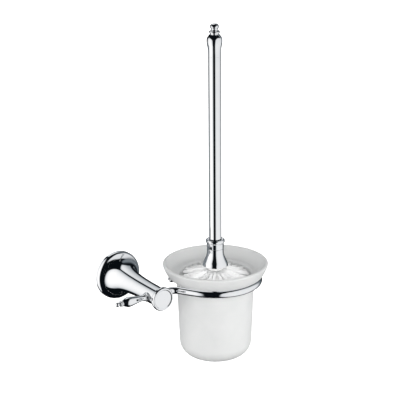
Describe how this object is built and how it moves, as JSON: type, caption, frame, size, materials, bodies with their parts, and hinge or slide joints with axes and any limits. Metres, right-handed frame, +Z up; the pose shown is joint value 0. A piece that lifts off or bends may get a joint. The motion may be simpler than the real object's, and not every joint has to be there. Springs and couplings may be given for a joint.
{
  "type": "toilet brush holder",
  "caption": "Wall-mounted toilet brush holder: chrome arm with wire ring, hanging frosted glass cup with a flared rim, and a long-handled brush standing in the cup.",
  "frame": {"origin": "centre of the mounting plate's back face, on the wall", "axes": "+Z up; +Y into the wall, so the arm projects along -Y; +X along the wall, towards the cup"},
  "size_m": [0.1916, 0.1372, 0.3787],
  "materials": {
    "chrome": "polished",
    "steel": "plain zinc-plated",
    "frosted_glass": "acid-frosted",
    "white_plastic": "moulded",
    "bristle": "nylon filament"
  },
  "bodies": {
    "wall_arm": {"mounting_plate": "steel", "wall_flange": "chrome", "flange_set_screw": "steel", "arm_bolt": "steel", "arm_bolt_washer": "steel", "trumpet_arm": "chrome", "end_cap": "chrome", "holder_ring": "chrome", "ring_collar": "chrome", "lever_seat": "chrome"},
    "lever": {"lever_stud": "steel", "lever_body": "chrome", "lever_collar": "chrome", "lever_tip": "chrome"},
    "cup": {"glass_cup": "frosted_glass"},
    "brush": {"handle_rod": "chrome", "rod_plug": "steel", "handle_grip": "chrome", "finial_collar": "chrome", "finial_button": "chrome", "bell_collar": "chrome", "bell_cover": "chrome", "bell_nut": "steel", "head_stud": "steel", "brush_core": "white_plastic", "bristle_row_1": "bristle", "bristle_row_2": "bristle", "bristle_row_3": "bristle", "bristle_row_4": "bristle", "bristle_row_5": "bristle", "bristle_row_6": "bristle", "bristle_row_7": "bristle", "bristle_row_8": "bristle", "bristle_crown": "bristle"}
  },
  "joints": [
    {"name": "lever_turn", "type": "hinge", "parent": "wall_arm", "child": "lever", "pos_m": [-0.0139, -0.0786, 0], "axis": [-1, 0, 0], "range_deg": [0, 360]},
    {"name": "cup_lift", "type": "slide", "parent": "wall_arm", "child": "cup", "axis": [0, 0, 1], "range_m": [0, 0.1]},
    {"name": "brush_lift", "type": "slide", "parent": "cup", "child": "brush", "axis": [0, 0, 1], "range_m": [0, 0.115]}
  ]
}
